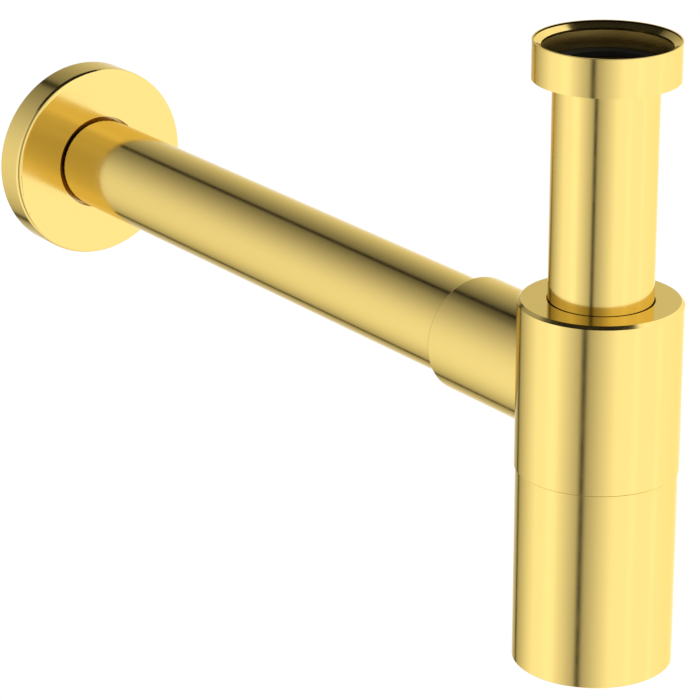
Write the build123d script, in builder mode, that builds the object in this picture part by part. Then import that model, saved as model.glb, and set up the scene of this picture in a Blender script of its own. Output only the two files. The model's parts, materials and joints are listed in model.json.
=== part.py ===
from build123d import *
import os

# Basin bottle trap in polished brass. Waste water enters at the union nut, runs down the
# inlet tube into the cup, rises round the tube and leaves through the outlet pipe.
# The origin is the centre of the inlet's sealing face, on top of the washer in the nut.
# +Z is up along the inlet tube, and +Y runs along the outlet pipe towards the wall.
# All sizes are in millimetres.

# Inlet tube and outlet pipe, in the standard basin waste size
TUBE_DIAMETER = 32.0
TUBE_WALL = 1.0
TUBE_END_CHAMFER = 0.3

# Union nut
THREAD_DEPTH = 7.75
NUT_WALL = 2.7
NUT_RIM_WIDTH = 0.6
NUT_RIM_STEP = 0.5
NUT_LEAD_IN_DEPTH = 1.25
NUT_EDGE_ROUND = 0.15
NUT_LIP = 1.25
NUT_HOLE_GAP = 0.2
RELIEF_DEPTH = 0.7

# Pieces stacked inside the nut
WASHER_THICKNESS = 1.5
WASHER_GAP = 0.3
FLANGE_THICKNESS = 0.8
FLANGE_WIDTH = 2.975
FLANGE_GAP = 0.5
FLARE_CHAMFER = 0.4
SLIP_RING_THICKNESS = 0.4

# Slip fits: where a tube slides through a bore sealed by an O-ring
SLIDE_GAP = 0.1
GROOVE_DEPTH = 1.7
GROOVE_WIDTH = 2.6
RING_GAP = 0.05
RING_CORNER = 0.5

# Trap body
FREE_TUBE_LENGTH = 68.4
NECK_DEPTH = 11.0
NECK_MOUTH_GAP = 0.4
NECK_MOUTH_DEPTH = 2.5
NECK_GROOVE_CENTRE = 5.6
PORT_MARGIN = 3.8
BODY_WALL = 2.55
BODY_SKIRT = 5.45
BODY_TOP_CHAMFER = 1.0
SHOULDER_HEIGHT = 4.0
FLOW_GAP = 4.5
SPIGOT_WALL = 1.6
SPIGOT_LENGTH = 10.0
SPIGOT_CHAMFER = 0.6

# Outlet sleeve on the side of the body
SLEEVE_LENGTH = 36.0
SLEEVE_WALL = 2.65
SLEEVE_MOUTH_GAP = 0.5
SLEEVE_MOUTH_DEPTH = 1.5
SLEEVE_GROOVE_CENTRE = 6.0
SLEEVE_EDGE_ROUND = 0.4
PIPE_STOP_LIP = 1.4
PIPE_STOP_OFFSET = 2.3

# Cup screwed on below the body
THREAD_ROOM = 0.9
CUP_RIM_WALL = 1.78
SEAM_STEP = 0.37
SEAM_GAP = 0.22
SEAM_CHAMFER = 0.05
GASKET_THICKNESS = 2.0
GASKET_WIDTH = 1.6
GASKET_GAP = 0.2
CUP_FLOOR = 2.5
CUP_FLOOR_BEVEL = 3.0
CUP_BOTTOM_CHAMFER = 0.2
WATER_SEAL = 55.0
FLOOR_GAP = 15.5

# Outlet pipe and wall rosette
WALL_DISTANCE = 297.3
PIPE_INSERTION = 28.0
WALL_INSERTION = 20.0
DEPTH_MARK_OFFSET = 2.0
DEPTH_MARK_WIDTH = 0.8
DEPTH_MARK_DEPTH = 0.25
ROSETTE_DIAMETER = 69.0
ROSETTE_DEPTH = 12.0
ROSETTE_WALL = 1.6
ROSETTE_EDGE_ROUND = 1.6
ROSETTE_HOLE_GAP = 0.9
ROSETTE_HOLE_DEPTH = 2.4
HUB_WALL = 3.4
HUB_DEPTH = 8.0
HUB_GROOVE_CENTRE = 4.6

# Shared radii of the slip fits
tube_radius = TUBE_DIAMETER / 2
tube_bore_radius = tube_radius - TUBE_WALL
slide_radius = tube_radius + SLIDE_GAP
groove_radius = slide_radius + GROOVE_DEPTH

# Radii and heights of the stack in the union nut, whose bore is the core of a G 1 1/4 thread
flange_radius = tube_radius + FLANGE_WIDTH
thread_radius = flange_radius + FLANGE_GAP
nut_radius = thread_radius + NUT_WALL
relief_radius = thread_radius + RELIEF_DEPTH
flange_top_z = -WASHER_THICKNESS
flange_foot_z = flange_top_z - FLANGE_THICKNESS
nut_lip_z = flange_foot_z - SLIP_RING_THICKNESS
nut_foot_z = nut_lip_z - NUT_LIP

# Heights and radii of the body and the cup
port_radius = tube_radius - PIPE_STOP_LIP
sleeve_radius = slide_radius + SLEEVE_WALL
spigot_bore_radius = tube_radius + FLOW_GAP
spigot_radius = spigot_bore_radius + SPIGOT_WALL
cup_thread_radius = spigot_radius + THREAD_ROOM
cup_radius = cup_thread_radius + CUP_RIM_WALL
body_radius = cup_radius + SEAM_STEP
chamber_radius = body_radius - BODY_WALL
sump_radius = cup_thread_radius - GASKET_GAP - GASKET_WIDTH
body_top_z = nut_foot_z - FREE_TUBE_LENGTH
neck_foot_z = body_top_z - NECK_DEPTH
outlet_z = neck_foot_z - PORT_MARGIN - port_radius
seam_z = outlet_z - sleeve_radius - BODY_SKIRT
spigot_end_z = seam_z - SPIGOT_LENGTH
cup_ledge_z = spigot_end_z - GASKET_THICKNESS
tube_end_z = outlet_z - port_radius - WATER_SEAL
cup_floor_z = tube_end_z - FLOOR_GAP
cup_bottom_z = cup_floor_z - CUP_FLOOR

# Distances along the outlet axis
sleeve_mouth_y = body_radius + SLEEVE_LENGTH
pipe_stop_y = body_radius + PIPE_STOP_OFFSET
pipe_start_y = sleeve_mouth_y - PIPE_INSERTION
pipe_end_y = WALL_DISTANCE + WALL_INSERTION
rosette_front_y = WALL_DISTANCE - ROSETTE_DEPTH
depth_mark_y = WALL_DISTANCE + DEPTH_MARK_OFFSET

# Axis of the outlet, the plane square to it and the plane of its section (distance, radius)
outlet_axis = Axis((0, 0, outlet_z), (0, 1, 0))
outlet_plane = Plane(origin=(0, 0, outlet_z), x_dir=(1, 0, 0), z_dir=(0, 1, 0))
outlet_section = Plane(origin=(0, 0, outlet_z), x_dir=(0, 1, 0), z_dir=(1, 0, 0))


def circles_of(radius):
    """Return a filter that keeps circular edges of one radius."""
    return lambda edge: edge.geom_type == GeomType.CIRCLE and abs(edge.radius - radius) < 0.001


def draw_o_ring_section(centre, along_x):
    """Draw a squeezed O-ring's section at its groove's centre, with the axis along the sketch's x or y."""
    width = GROOVE_WIDTH - 2 * RING_GAP
    thickness = groove_radius - tube_radius - 2 * RING_GAP
    middle = (groove_radius + tube_radius) / 2
    with Locations((centre, middle) if along_x else (middle, centre)):
        Rectangle(width if along_x else thickness, thickness if along_x else width)
    chamfer(vertices(), RING_CORNER)


# Union nut: raised rim, sloping lead-in, threaded bore, relief for the sealing stack and an inward lip
with BuildPart() as union_nut:
    with BuildSketch(Plane.XZ):
        with BuildLine():
            Polyline(
                (tube_radius + NUT_HOLE_GAP, nut_foot_z),
                (nut_radius, nut_foot_z),
                (nut_radius, THREAD_DEPTH),
                (nut_radius - NUT_RIM_WIDTH, THREAD_DEPTH),
                (nut_radius - NUT_RIM_WIDTH, THREAD_DEPTH - NUT_RIM_STEP),
                (thread_radius, THREAD_DEPTH - NUT_RIM_STEP - NUT_LEAD_IN_DEPTH),
                (thread_radius, 0),
                (relief_radius, 0),
                (relief_radius, nut_lip_z),
                (tube_radius + NUT_HOLE_GAP, nut_lip_z),
                close=True,
            )
        make_face()
    revolve(axis=Axis.Z)
    fillet(edges().filter_by(circles_of(nut_radius)).sort_by(Axis.Z)[-1], NUT_EDGE_ROUND)

# Slip ring between the tube's flange and the nut's lip
with BuildPart() as slip_ring:
    with BuildSketch(Plane.XY.offset(nut_lip_z)):
        Circle(flange_radius)
        Circle(tube_radius + RING_GAP, mode=Mode.SUBTRACT)
    extrude(amount=SLIP_RING_THICKNESS)

# Flat sealing washer on the tube's flange
with BuildPart() as inlet_washer:
    with BuildSketch(Plane.XY.offset(flange_top_z)):
        Circle(thread_radius - WASHER_GAP)
        Circle(tube_bore_radius, mode=Mode.SUBTRACT)
    extrude(amount=WASHER_THICKNESS)

# Inlet tube: flared to a flange at the top, it dips into the cup's water at the bottom
with BuildPart() as inlet_tube:
    with BuildSketch(Plane.XY.offset(tube_end_z)):
        Circle(tube_radius)
    extrude(amount=flange_top_z - tube_end_z)
    with BuildSketch(Plane.XY.offset(flange_foot_z)):
        Circle(flange_radius)
    extrude(amount=FLANGE_THICKNESS)
    with BuildSketch(Plane.XY.offset(tube_end_z)):
        Circle(tube_bore_radius)
    extrude(amount=flange_top_z - tube_end_z, mode=Mode.SUBTRACT)
    bore_edges = edges().filter_by(circles_of(tube_bore_radius)).sort_by(Axis.Z)
    chamfer(bore_edges[-1], FLARE_CHAMFER)
    chamfer(edges().filter_by(circles_of(tube_radius)).sort_by(Axis.Z)[0], TUBE_END_CHAMFER)

# O-ring in the neck of the body
with BuildPart() as neck_o_ring:
    with BuildSketch(Plane.XZ):
        draw_o_ring_section(body_top_z - NECK_GROOVE_CENTRE, along_x=False)
    revolve(axis=Axis.Z)

# Trap body: barrel with a threaded spigot below, a sealed neck above and the outlet sleeve at its side
with BuildPart() as trap_body:
    with BuildSketch(Plane.XZ):
        with BuildLine():
            Polyline(
                (0, body_top_z),
                (body_radius, body_top_z),
                (body_radius, seam_z),
                (spigot_radius, seam_z),
                (spigot_radius, spigot_end_z),
                (0, spigot_end_z),
                close=True,
            )
        make_face()
    revolve(axis=Axis.Z)
    rim_edges = edges().filter_by(circles_of(body_radius)).sort_by(Axis.Z)
    chamfer(rim_edges[-1], BODY_TOP_CHAMFER)
    chamfer(rim_edges[0], SEAM_CHAMFER)
    chamfer(edges().filter_by(circles_of(spigot_radius)).sort_by(Axis.Z)[0], SPIGOT_CHAMFER)
    with BuildSketch(outlet_plane):
        Circle(sleeve_radius)
    extrude(amount=sleeve_mouth_y)
    fillet(edges().filter_by(circles_of(sleeve_radius)).sort_by(Axis.Y)[-1], SLEEVE_EDGE_ROUND)
    # Neck with its O-ring groove, the chamber, and the spigot's bore
    with BuildSketch(Plane.XZ):
        neck_groove_z = body_top_z - NECK_GROOVE_CENTRE
        with BuildLine():
            Polyline(
                (0, body_top_z),
                (tube_radius + NECK_MOUTH_GAP, body_top_z),
                (tube_radius + NECK_MOUTH_GAP, body_top_z - NECK_MOUTH_DEPTH),
                (slide_radius, body_top_z - NECK_MOUTH_DEPTH),
                (slide_radius, neck_groove_z + GROOVE_WIDTH / 2),
                (groove_radius, neck_groove_z + GROOVE_WIDTH / 2),
                (groove_radius, neck_groove_z - GROOVE_WIDTH / 2),
                (slide_radius, neck_groove_z - GROOVE_WIDTH / 2),
                (slide_radius, neck_foot_z),
                (chamber_radius, neck_foot_z),
                (chamber_radius, seam_z + SHOULDER_HEIGHT + chamber_radius - spigot_bore_radius),
                (spigot_bore_radius, seam_z + SHOULDER_HEIGHT),
                (spigot_bore_radius, spigot_end_z),
                (0, spigot_end_z),
                close=True,
            )
        make_face()
    revolve(axis=Axis.Z, mode=Mode.SUBTRACT)
    # Outlet port, the stop for the pipe, and the pipe's socket with its O-ring groove
    with BuildSketch(outlet_section):
        sleeve_groove_y = sleeve_mouth_y - SLEEVE_GROOVE_CENTRE
        with BuildLine():
            Polyline(
                (0, 0),
                (0, port_radius),
                (pipe_stop_y, port_radius),
                (pipe_stop_y, slide_radius),
                (sleeve_groove_y - GROOVE_WIDTH / 2, slide_radius),
                (sleeve_groove_y - GROOVE_WIDTH / 2, groove_radius),
                (sleeve_groove_y + GROOVE_WIDTH / 2, groove_radius),
                (sleeve_groove_y + GROOVE_WIDTH / 2, slide_radius),
                (sleeve_mouth_y - SLEEVE_MOUTH_DEPTH, slide_radius),
                (sleeve_mouth_y - SLEEVE_MOUTH_DEPTH, tube_radius + SLEEVE_MOUTH_GAP),
                (sleeve_mouth_y, tube_radius + SLEEVE_MOUTH_GAP),
                (sleeve_mouth_y, 0),
                close=True,
            )
        make_face()
    revolve(axis=outlet_axis, mode=Mode.SUBTRACT)

# Flat gasket on the cup's ledge, pressed by the end of the spigot
with BuildPart() as cup_gasket:
    with BuildSketch(Plane.XY.offset(cup_ledge_z)):
        Circle(sump_radius + GASKET_WIDTH)
        Circle(sump_radius, mode=Mode.SUBTRACT)
    extrude(amount=GASKET_THICKNESS)

# Cup: threaded bore at the rim, the gasket's ledge, and a sump with a bevelled floor
with BuildPart() as cup:
    with BuildSketch(Plane.XZ):
        with BuildLine():
            Polyline(
                (cup_thread_radius, seam_z - SEAM_GAP),
                (cup_radius, seam_z - SEAM_GAP),
                (cup_radius, cup_bottom_z),
                (0, cup_bottom_z),
                (0, cup_floor_z),
                (sump_radius, cup_floor_z),
                (sump_radius, cup_ledge_z),
                (cup_thread_radius, cup_ledge_z),
                close=True,
            )
        make_face()
    revolve(axis=Axis.Z)
    cup_edges = edges().filter_by(circles_of(cup_radius)).sort_by(Axis.Z)
    chamfer(cup_edges[-1], SEAM_CHAMFER)
    chamfer(cup_edges[0], CUP_BOTTOM_CHAMFER)
    chamfer(edges().filter_by(circles_of(sump_radius)).sort_by(Axis.Z)[0], CUP_FLOOR_BEVEL)

# O-ring in the outlet sleeve
with BuildPart() as outlet_o_ring:
    with BuildSketch(outlet_section):
        draw_o_ring_section(sleeve_mouth_y - SLEEVE_GROOVE_CENTRE, along_x=True)
    revolve(axis=outlet_axis)

# Outlet pipe, with a turned line that marks how deep its end goes into the wall socket
with BuildPart() as outlet_pipe:
    with BuildSketch(outlet_plane.offset(pipe_start_y)):
        Circle(tube_radius)
        Circle(tube_bore_radius, mode=Mode.SUBTRACT)
    extrude(amount=pipe_end_y - pipe_start_y)
    chamfer(edges().filter_by(circles_of(tube_radius)), TUBE_END_CHAMFER)
    with BuildSketch(outlet_plane.offset(depth_mark_y)):
        Circle(tube_radius)
        Circle(tube_radius - DEPTH_MARK_DEPTH, mode=Mode.SUBTRACT)
    extrude(amount=DEPTH_MARK_WIDTH, mode=Mode.SUBTRACT)

# Wall rosette: a turned dish, open towards the wall, with a hub that grips the pipe
with BuildPart() as rosette:
    with BuildSketch(outlet_section):
        rosette_radius = ROSETTE_DIAMETER / 2
        rim_inner_radius = rosette_radius - ROSETTE_WALL
        hub_radius = slide_radius + HUB_WALL
        hub_groove_y = rosette_front_y + HUB_GROOVE_CENTRE
        with BuildLine():
            Polyline(
                (rosette_front_y, tube_radius + ROSETTE_HOLE_GAP),
                (rosette_front_y, rosette_radius),
                (WALL_DISTANCE, rosette_radius),
                (WALL_DISTANCE, rim_inner_radius),
                (rosette_front_y + ROSETTE_WALL, rim_inner_radius),
                (rosette_front_y + ROSETTE_WALL, hub_radius),
                (rosette_front_y + HUB_DEPTH, hub_radius),
                (rosette_front_y + HUB_DEPTH, slide_radius),
                (hub_groove_y + GROOVE_WIDTH / 2, slide_radius),
                (hub_groove_y + GROOVE_WIDTH / 2, groove_radius),
                (hub_groove_y - GROOVE_WIDTH / 2, groove_radius),
                (hub_groove_y - GROOVE_WIDTH / 2, slide_radius),
                (rosette_front_y + ROSETTE_HOLE_DEPTH, slide_radius),
                (rosette_front_y + ROSETTE_HOLE_DEPTH, tube_radius + ROSETTE_HOLE_GAP),
                close=True,
            )
        make_face()
    revolve(axis=outlet_axis)
    fillet(edges().filter_by(circles_of(rosette_radius)).sort_by(Axis.Y)[0], ROSETTE_EDGE_ROUND)

# O-ring in the rosette's hub
with BuildPart() as rosette_o_ring:
    with BuildSketch(outlet_section):
        draw_o_ring_section(rosette_front_y + HUB_GROOVE_CENTRE, along_x=True)
    revolve(axis=outlet_axis)

pieces = {
    "union_nut": union_nut,
    "slip_ring": slip_ring,
    "inlet_washer": inlet_washer,
    "inlet_tube": inlet_tube,
    "neck_o_ring": neck_o_ring,
    "trap_body": trap_body,
    "cup_gasket": cup_gasket,
    "cup": cup,
    "outlet_o_ring": outlet_o_ring,
    "outlet_pipe": outlet_pipe,
    "rosette": rosette,
    "rosette_o_ring": rosette_o_ring,
}
os.makedirs("parts", exist_ok=True)
for piece_name, piece in pieces.items():
    piece.part.label = piece_name
    export_step(piece.part, f"parts/{piece_name}.step")
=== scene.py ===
import json
import math

import bmesh
import bpy
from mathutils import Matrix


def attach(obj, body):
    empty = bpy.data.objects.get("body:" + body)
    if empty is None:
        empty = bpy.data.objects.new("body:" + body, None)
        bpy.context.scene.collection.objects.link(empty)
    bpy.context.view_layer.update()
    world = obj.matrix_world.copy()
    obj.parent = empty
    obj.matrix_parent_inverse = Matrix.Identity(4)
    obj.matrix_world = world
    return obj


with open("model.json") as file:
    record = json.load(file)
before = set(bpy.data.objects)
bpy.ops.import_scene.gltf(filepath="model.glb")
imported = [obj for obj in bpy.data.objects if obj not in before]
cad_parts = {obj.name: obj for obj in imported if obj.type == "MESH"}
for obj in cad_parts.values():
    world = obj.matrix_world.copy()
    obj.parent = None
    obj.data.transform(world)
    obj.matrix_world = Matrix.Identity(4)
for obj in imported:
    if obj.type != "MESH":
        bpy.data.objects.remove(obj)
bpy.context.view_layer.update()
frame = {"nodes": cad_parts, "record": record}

# The camera that took the photograph, in metres and degrees
CAMERA_PLACE = (-0.62848, -0.74838, 0.27416)
CAMERA_YAW = 35.6213
CAMERA_PITCH = 20.4261
CAMERA_LENS = 177.889

# Polished gold
GOLD_COLOUR = (0.69, 0.525, 0.175, 1.0)
GOLD_EDGE_TINT = (0.89, 0.80, 0.555, 1.0)
GOLD_ROUGHNESS = (0.11, 0.15)
POLISH_NOISE = (180.0, 3.0)
POLISH_RANGE = (0.3, 0.7)

# The union nut's satin bore, and painted shade on the step inside its rim, in metres
BORE_RADIUS = 0.0199
BORE_TOP = 0.0053
BORE_HEIGHTS = (0.0012, 0.0054)
BORE_ROUGHNESS = (0.22, 0.40)
RIM_STEP_RADIUS = 0.021575
RIM_STEP_REACH = 0.00003
# Colour of the painted shade on the rim's step
RIM_STEP_SHADE_COLOUR = (0.10, 0.065, 0.02, 1.0)

# Painted shade on the wall of the rosette's hole, in metres
PIPE_HEIGHT = -0.10175
HOLE_RADIUS = 0.01693
HOLE_END = 0.2878
# Colour of the painted shade on the hole's wall
HOLE_SHADE_COLOUR = (0.40, 0.27, 0.11, 1.0)

# Rubber and nylon
RUBBER_COLOURS = ((0.004, 0.004, 0.004, 1.0), (0.010, 0.010, 0.010, 1.0))
RUBBER_ROUGHNESS = 0.8
RUBBER_GLOSS = 0.15
RUBBER_GRAIN = 0.00005
NYLON_COLOURS = ((0.78, 0.77, 0.72, 1.0), (0.84, 0.83, 0.79, 1.0))
NYLON_ROUGHNESS = 0.4
NYLON_GLOSS = 0.5
NYLON_GRAIN = 0.00002
MOTTLE_NOISE = (400.0, 4.0)
GRAIN_NOISE = (2500.0, 2.0)
GRAIN_STRENGTH = 0.2

# Studio tent that polished metal shows, in degrees: azimuth 0 is +Y and 90 is +X
TENT_LEVEL = 1.54
FRONT_GAP = -119.8
BACK_GAP = 3.0
RIGHT_PANEL = 130.0
PANEL_LAMPS = ((-73.0, 14.0), (129.0, 9.0), (167.0, 10.0))
LAMP_GAIN = 0.07

# Panels and slits beside the two gaps: two angles from the gap, and the levels there
FRONT_LEFT = ((4.0, 40.0), (0.42, 1.0))
FRONT_RIGHT = ((6.0, 46.0), (0.40, 1.0))
FRONT_SLIT = ((0.0, 7.0), (0.1, 1.0))
BACK_PANEL = ((4.0, 48.0), (0.38, 1.0))
BACK_SLIT = ((0.0, 6.0), (0.08, 1.0))

# How the walls dim with height, and how far the right panel and the back's shade reach
GROUND_EDGE = (-75.0, -50.0)
GROUND_LEVEL = 0.9
DIMMING_FOOT = -20.0
DIMMING_RATE = 1.05
DIMMING_LIMIT = 1.5
RIGHT_PANEL_EDGE = (60.0, 90.0)
BACK_EDGE = (50.0, 75.0)
BACK_FOOT = ((-30.0, -12.0), (1.0, 0.92))
BACK_TOP = ((38.0, 46.0), (1.0, 0.25))

# Black roof and a dimmer place in the front panel
ROOF_AXIS = (-0.0535, 0.060, 0.9967)
ROOF_EDGE = (35.4, 38.9)
ROOF_LEVEL = 0.015
DIM_SPOT_AXIS = (-0.114, -0.811, 0.574)
DIM_SPOT = ((5.0, 18.0), (0.75, 1.0))

# Floor far below the hanging trap
FLOOR_HEIGHT = -2.2
FLOOR_SIZE = 16.0
FLOOR_COLOUR = (0.9, 0.9, 0.9, 1.0)
FLOOR_GLOW = 0.12

# Thread of the cup on the body's spigot, in metres, with a profile in shares of depth and pitch
THREAD_PITCH = 0.002
THREAD_TOP = -0.1271
THREAD_FOOT = -0.1351
THREAD_PROFILE = ((0.0, -0.25), (1.0, -0.07), (1.0, 0.07), (0.0, 0.25))
THREAD_BURIED = 0.00004
THREAD_SHARP_ANGLE = 20.0
SPIGOT_RADIUS = 0.0221
SPIGOT_CREST = 0.02285
CUP_BORE_RADIUS = 0.0230
CUP_CREST = 0.0223
STEPS_PER_TURN = 96
RUN_OUT_STEPS = 32


class Nodes:
    """A node tree with short calls for adding nodes and links."""

    def __init__(self, owner):
        owner.use_nodes = True
        self.tree = owner.node_tree
        self.tree.nodes.clear()

    def add(self, kind, **settings):
        node = self.tree.nodes.new(kind)
        for name, value in settings.items():
            setattr(node, name, value)
        return node

    def put(self, socket, value):
        if isinstance(value, bpy.types.NodeSocket):
            self.tree.links.new(value, socket)
        else:
            socket.default_value = value

    def math(self, operation, *values):
        node = self.add("ShaderNodeMath", operation=operation)
        for socket, value in zip(node.inputs, values):
            self.put(socket, value)
        return node.outputs[0]

    def product(self, first, *others):
        for other in others:
            first = self.math("MULTIPLY", first, other)
        return first

    def length(self, first, second):
        squares = [self.product(value, value) for value in (first, second)]
        return self.math("SQRT", self.math("ADD", *squares))

    def ramp(self, value, edge, levels, smooth=False):
        node = self.add("ShaderNodeMapRange", interpolation_type="SMOOTHSTEP" if smooth else "LINEAR")
        for socket, number in zip(node.inputs, (value, *edge, *levels)):
            self.put(socket, number)
        return node.outputs[0]

    def blend(self, share, first, second):
        node = self.add("ShaderNodeMix", data_type="FLOAT")
        for socket, value in zip((node.inputs[0], node.inputs[2], node.inputs[3]), (share, first, second)):
            self.put(socket, value)
        return node.outputs[0]

    def mix(self, share, first, second):
        node = self.add("ShaderNodeMix", data_type="RGBA")
        for socket, value in zip((node.inputs[0], node.inputs[6], node.inputs[7]), (share, first, second)):
            self.put(socket, value)
        return node.outputs[2]

    def parts(self, coordinates):
        node = self.add("ShaderNodeSeparateXYZ")
        self.put(node.inputs[0], self.add("ShaderNodeTexCoord").outputs[coordinates])
        return node.outputs

    def noise(self, scale, detail):
        node = self.add("ShaderNodeTexNoise")
        self.put(node.inputs["Vector"], self.add("ShaderNodeTexCoord").outputs["Object"])
        self.put(node.inputs["Scale"], scale)
        self.put(node.inputs["Detail"], detail)
        return node.outputs["Fac"]

    def finish(self, shader):
        output = self.add("ShaderNodeOutputMaterial")
        self.put(output.inputs["Surface"], shader.outputs[0])


class Tent(Nodes):
    """The world's node tree, with the angles of each direction in degrees."""

    def __init__(self, world):
        super().__init__(world)
        self.direction = self.parts("Generated")
        x, y, z = self.direction
        self.azimuth = self.degrees("ARCTAN2", x, y)
        self.elevation = self.degrees("ARCSINE", z)

    def degrees(self, operation, *values):
        return self.product(self.math(operation, *values), 180 / math.pi)

    def turn_from(self, place):
        return self.math("WRAP", self.math("SUBTRACT", self.azimuth, place), 180.0, -180.0)

    def away_from(self, place):
        return self.math("ABSOLUTE", self.turn_from(place))

    def angle_from(self, axis):
        x, y, z = [self.product(part, share) for part, share in zip(self.direction, axis)]
        along = self.math("ADD", self.math("ADD", x, y), z)
        return self.degrees("ARCCOSINE", self.math("MINIMUM", along, 1.0))


def panel_light(tent):
    """Panels that brighten away from the two gaps, with a faint glow round each lamp."""
    front_turn = tent.turn_from(FRONT_GAP)
    front_left = tent.ramp(front_turn, *FRONT_LEFT)
    front_right = tent.ramp(tent.product(front_turn, -1.0), *FRONT_RIGHT)
    front_panel = tent.blend(tent.math("GREATER_THAN", front_turn, 0.0), front_right, front_left)
    front_slit = tent.ramp(tent.away_from(FRONT_GAP), *FRONT_SLIT, smooth=True)
    back_panel = tent.ramp(tent.away_from(BACK_GAP), *BACK_PANEL)
    back_slit = tent.ramp(tent.away_from(BACK_GAP), *BACK_SLIT, smooth=True)
    light = tent.product(front_panel, front_slit, back_panel, back_slit)
    for place, reach in PANEL_LAMPS:
        glow = tent.ramp(tent.away_from(place), (0.0, reach), (1 + LAMP_GAIN, 1.0), smooth=True)
        light = tent.product(light, glow)
    return tent.blend(tent.ramp(tent.elevation, GROUND_EDGE, (0.0, 1.0)), GROUND_LEVEL, light)


def height_shade(tent):
    """The walls dim upwards, except the tall panel on the right, and the back's panels end lower."""
    height = tent.math("MAXIMUM", tent.math("SUBTRACT", tent.elevation, DIMMING_FOOT), 0.0)
    slope = tent.math("MINIMUM", tent.product(height, math.radians(DIMMING_RATE)), DIMMING_LIMIT)
    right_share = tent.ramp(tent.away_from(RIGHT_PANEL), RIGHT_PANEL_EDGE, (1.0, 0.0))
    dimming = tent.blend(right_share, tent.math("COSINE", slope), 1.0)
    back_foot = tent.ramp(tent.elevation, *BACK_FOOT)
    back_top = tent.ramp(tent.elevation, *BACK_TOP, smooth=True)
    back_share = tent.ramp(tent.away_from(BACK_GAP), BACK_EDGE, (1.0, 0.0))
    return tent.product(dimming, tent.blend(back_share, 1.0, tent.product(back_foot, back_top)))


def make_world():
    """Plain white light. Polished metal shows a tent of white panels with two dark gaps and a black roof."""
    world = bpy.data.worlds.new("studio")
    bpy.context.scene.world = world
    tent = Tent(world)
    dim_spot = tent.ramp(tent.angle_from(DIM_SPOT_AXIS), *DIM_SPOT, smooth=True)
    walls = tent.product(panel_light(tent), height_shade(tent), dim_spot)
    below_roof = tent.ramp(tent.angle_from(ROOF_AXIS), ROOF_EDGE, (0.0, 1.0), smooth=True)
    level = tent.product(tent.blend(below_roof, ROOF_LEVEL, walls), TENT_LEVEL)
    background = tent.add("ShaderNodeBackground")
    tent.put(background.inputs["Color"], (1.0, 1.0, 1.0, 1.0))
    rays = tent.add("ShaderNodeLightPath").outputs
    mirrored = tent.math("MAXIMUM", rays["Is Glossy Ray"], rays["Is Transmission Ray"])
    tent.put(background.inputs["Strength"], tent.blend(mirrored, 1.0, level))
    tent.put(tent.add("ShaderNodeOutputWorld").inputs["Surface"], background.outputs[0])


class Gold(Nodes):
    """Polished gold plating with a faint unevenness of the polish."""

    def __init__(self, name):
        self.material = bpy.data.materials.new(name)
        super().__init__(self.material)
        shader = self.add("ShaderNodeBsdfPrincipled")
        self.colour = shader.inputs["Base Color"]
        self.roughness = shader.inputs["Roughness"]
        self.polish = self.ramp(self.noise(*POLISH_NOISE), POLISH_RANGE, GOLD_ROUGHNESS)
        self.put(self.colour, GOLD_COLOUR)
        self.put(self.roughness, self.polish)
        self.put(shader.inputs["Metallic"], 1.0)
        self.put(shader.inputs["Specular Tint"], GOLD_EDGE_TINT)
        self.finish(shader)


def make_nut_gold():
    """Polished gold with a satin threaded bore and painted shade on the step inside the rim."""
    gold = Gold("nut_gold")
    x, y, z = gold.parts("Object")
    radius = gold.length(x, y)
    in_bore = gold.product(gold.math("LESS_THAN", radius, BORE_RADIUS), gold.math("LESS_THAN", z, BORE_TOP))
    satin = gold.ramp(z, BORE_HEIGHTS, BORE_ROUGHNESS, smooth=True)
    gold.put(gold.roughness, gold.blend(in_bore, gold.polish, satin))
    # Painted shade: a thin ring on the step inside the rim is coloured dark
    on_shaded_step = gold.math("COMPARE", radius, RIM_STEP_RADIUS, RIM_STEP_REACH)
    gold.put(gold.colour, gold.mix(on_shaded_step, GOLD_COLOUR, RIM_STEP_SHADE_COLOUR))
    return gold.material


def make_rosette_gold():
    """Polished gold with painted shade on the wall of its hole."""
    gold = Gold("rosette_gold")
    x, y, z = gold.parts("Object")
    radius = gold.length(x, gold.math("SUBTRACT", z, PIPE_HEIGHT))
    in_shaded_hole = gold.product(gold.math("LESS_THAN", radius, HOLE_RADIUS), gold.math("LESS_THAN", y, HOLE_END))
    # Painted shade: the wall of the hole is coloured dark
    gold.put(gold.colour, gold.mix(in_shaded_hole, GOLD_COLOUR, HOLE_SHADE_COLOUR))
    return gold.material


def make_matte(name, colours, roughness, gloss, grain):
    """Matte rubber or plastic, mottled a little and with a fine grain."""
    material = bpy.data.materials.new(name)
    n = Nodes(material)
    shader = n.add("ShaderNodeBsdfPrincipled")
    n.put(shader.inputs["Base Color"], n.mix(n.noise(*MOTTLE_NOISE), *colours))
    n.put(shader.inputs["Roughness"], roughness)
    n.put(shader.inputs["Specular IOR Level"], gloss)
    bump = n.add("ShaderNodeBump")
    n.put(bump.inputs["Strength"], GRAIN_STRENGTH)
    n.put(bump.inputs["Distance"], grain)
    n.put(bump.inputs["Height"], n.noise(*GRAIN_NOISE))
    n.put(shader.inputs["Normal"], bump.outputs[0])
    n.finish(shader)
    return material


def add_mesh(name, points, faces, material):
    mesh = bpy.data.meshes.new(name)
    mesh.from_pydata(points, [], faces)
    mesh.materials.append(material)
    thing = bpy.data.objects.new(name, mesh)
    bpy.context.scene.collection.objects.link(thing)
    return thing


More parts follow.
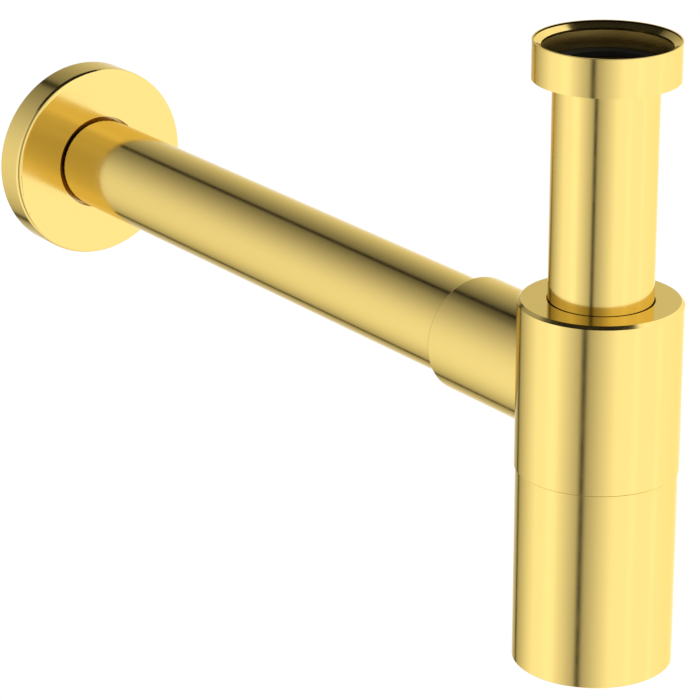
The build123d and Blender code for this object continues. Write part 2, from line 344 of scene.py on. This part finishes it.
def make_floor():
    """Pale floor far below; a little camera-only light keeps it as white as the photograph's ground."""
    material = bpy.data.materials.new("floor")
    n = Nodes(material)
    diffuse = n.add("ShaderNodeBsdfDiffuse")
    n.put(diffuse.inputs["Color"], FLOOR_COLOUR)
    glow = n.add("ShaderNodeEmission")
    to_camera = n.add("ShaderNodeLightPath").outputs["Is Camera Ray"]
    n.put(glow.inputs["Strength"], n.product(to_camera, FLOOR_GLOW))
    both = n.add("ShaderNodeAddShader")
    n.put(both.inputs[0], diffuse.outputs[0])
    n.put(both.inputs[1], glow.outputs[0])
    n.finish(both)
    half = FLOOR_SIZE / 2
    corners = [(x, y, FLOOR_HEIGHT) for x, y in ((-half, -half), (half, -half), (half, half), (-half, half))]
    floor = add_mesh("floor", corners, [(0, 1, 2, 3)], material)
    floor.visible_glossy = False


def thread_points(root, crest, phase, steps):
    """Corners of the ridge's profile at each step, running out into the wall at both ends."""
    buried_root = root + (THREAD_BURIED if crest < root else -THREAD_BURIED)
    points = []
    for step in range(steps + 1):
        angle = 2 * math.pi * step / STEPS_PER_TURN + phase
        height = THREAD_FOOT + THREAD_PITCH * step / STEPS_PER_TURN
        run_out = min(1.0, step / RUN_OUT_STEPS, (steps - step) / RUN_OUT_STEPS)
        for depth, offset in THREAD_PROFILE:
            radius = buried_root + (crest - buried_root) * run_out * depth
            place = (radius * math.cos(angle), radius * math.sin(angle), height + offset * THREAD_PITCH)
            points.append(place)
    return points


def add_thread(name, root, crest, phase, material, body):
    """Right-hand thread ridge from a root radius to a crest radius."""
    steps = round((THREAD_TOP - THREAD_FOOT) / THREAD_PITCH * STEPS_PER_TURN)
    corners = len(THREAD_PROFILE)
    faces = [tuple(range(corners)), tuple(corners * steps + i for i in range(corners))]
    for first in range(0, corners * steps, corners):
        for i in range(corners):
            j = (i + 1) % corners
            faces.append((first + i, first + j, first + corners + j, first + corners + i))
    ridge = add_mesh(name, thread_points(root, crest, phase, steps), faces, material)
    solid = bmesh.new()
    solid.from_mesh(ridge.data)
    bmesh.ops.recalc_face_normals(solid, faces=solid.faces)
    solid.to_mesh(ridge.data)
    solid.free()
    ridge.data.shade_smooth()
    ridge.data.set_sharp_from_angle(angle=math.radians(THREAD_SHARP_ANGLE))
    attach(ridge, body)


def make_camera():
    data = bpy.data.cameras.new("camera")
    data.lens = CAMERA_LENS
    camera = bpy.data.objects.new("camera", data)
    camera.location = CAMERA_PLACE
    camera.rotation_euler = (math.radians(90 - CAMERA_PITCH), 0, math.radians(-CAMERA_YAW))
    bpy.context.scene.collection.objects.link(camera)
    bpy.context.scene.camera = camera


make_world()
make_camera()
make_floor()
polished_gold = Gold("polished_gold").material
finishes = {
    "polished_gold": polished_gold,
    "rubber": make_matte("rubber", RUBBER_COLOURS, RUBBER_ROUGHNESS, RUBBER_GLOSS, RUBBER_GRAIN),
    "nylon": make_matte("nylon", NYLON_COLOURS, NYLON_ROUGHNESS, NYLON_GLOSS, NYLON_GRAIN),
}
slots = {row["node"]: row["material_slot"] for row in frame["record"]["subparts"]}
for node_name, node in frame["nodes"].items():
    node.data.materials.clear()
    node.data.materials.append(finishes[slots[node_name]])
frame["nodes"]["union_nut"].data.materials[0] = make_nut_gold()
frame["nodes"]["rosette"].data.materials[0] = make_rosette_gold()
add_thread("spigot_thread", SPIGOT_RADIUS, SPIGOT_CREST, 0.0, polished_gold, "trap_body")
add_thread("cup_thread", CUP_BORE_RADIUS, CUP_CREST, math.pi, polished_gold, "cup")

bpy.context.scene.view_settings.view_transform = "Standard"
